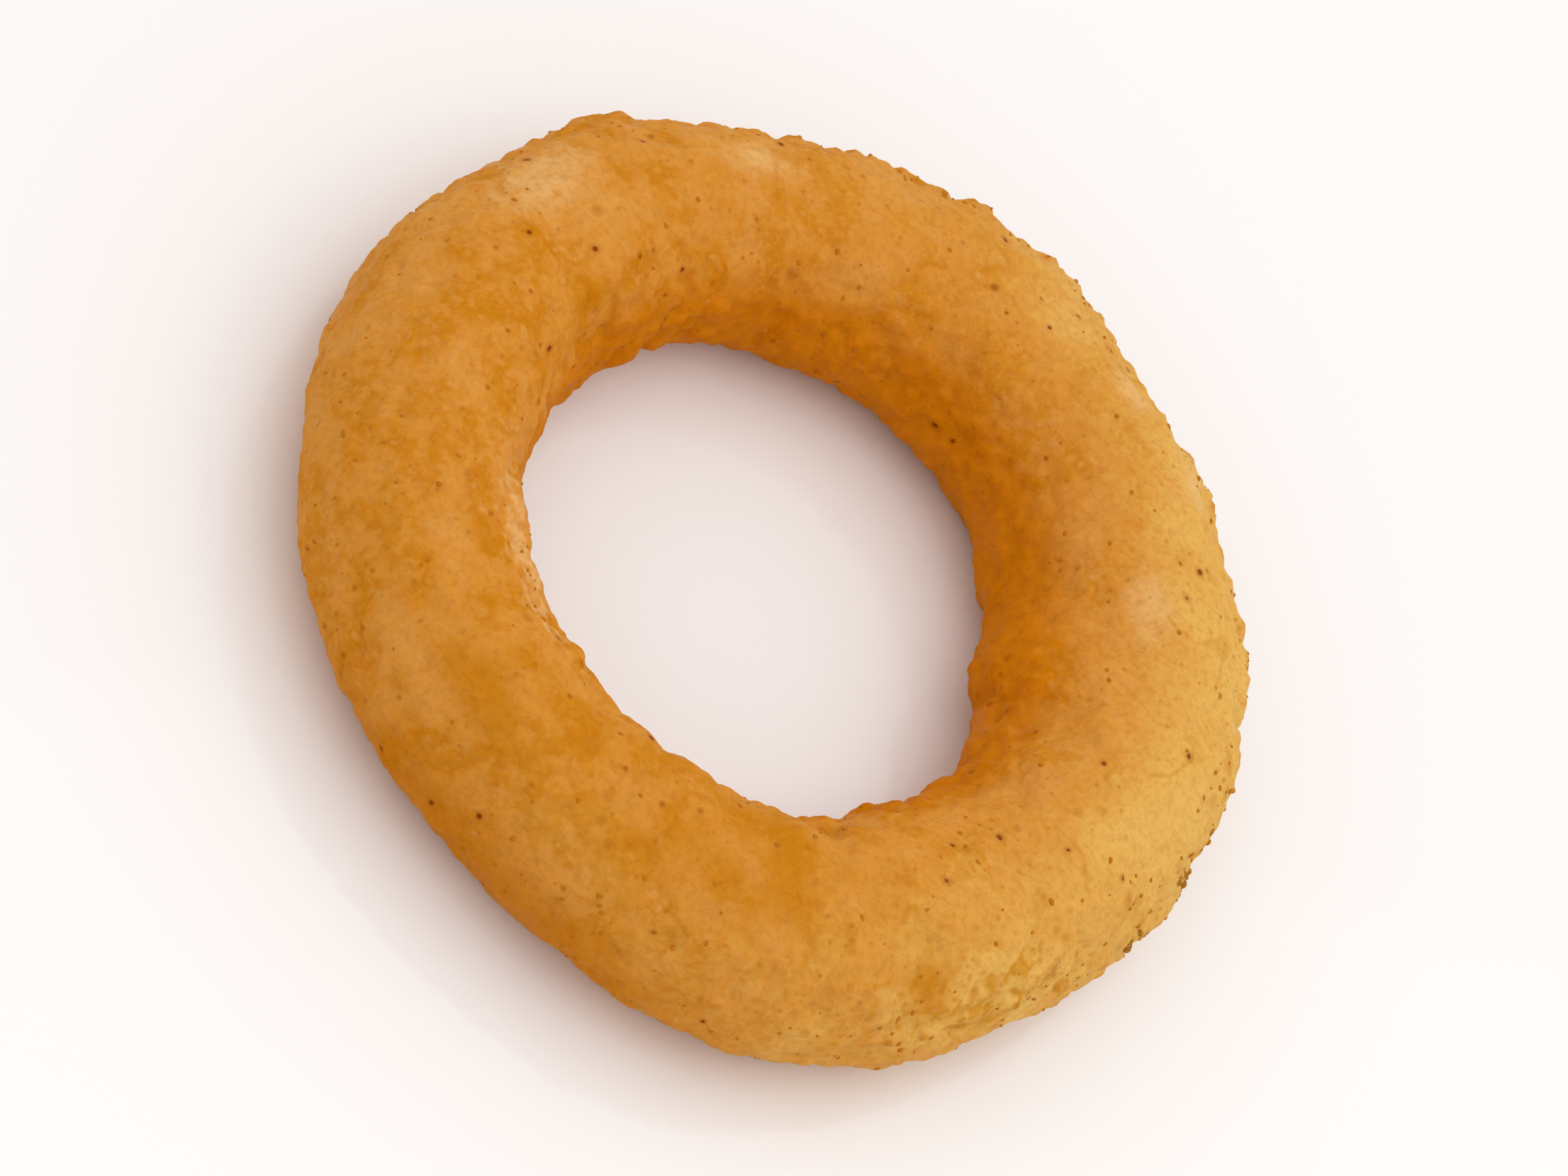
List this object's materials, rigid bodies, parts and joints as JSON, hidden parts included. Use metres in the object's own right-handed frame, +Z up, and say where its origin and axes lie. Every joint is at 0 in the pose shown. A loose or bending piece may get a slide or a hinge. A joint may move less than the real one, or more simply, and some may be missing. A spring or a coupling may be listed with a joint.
{
  "type": "battered onion ring",
  "caption": "Fried battered onion ring: a plump, slightly uneven ring of golden coat that lies flat, with a blunt seam low on its flanks and an open hole.",
  "frame": {"origin": "on the surface that the ring lies on, under the middle of its box", "axes": "+Z up, along the hole. +X along the ring's long way. The rounder side is up, and -Y is the side seen nearest in the picture"},
  "size_m": [0.0726, 0.072, 0.0151],
  "materials": {
    "fried_batter": "golden fried batter with ochre mottling, fine pits, dark specks and a low oily sheen"
  },
  "bodies": {
    "root": {"onion_ring": "fried_batter"}
  },
  "joints": []
}
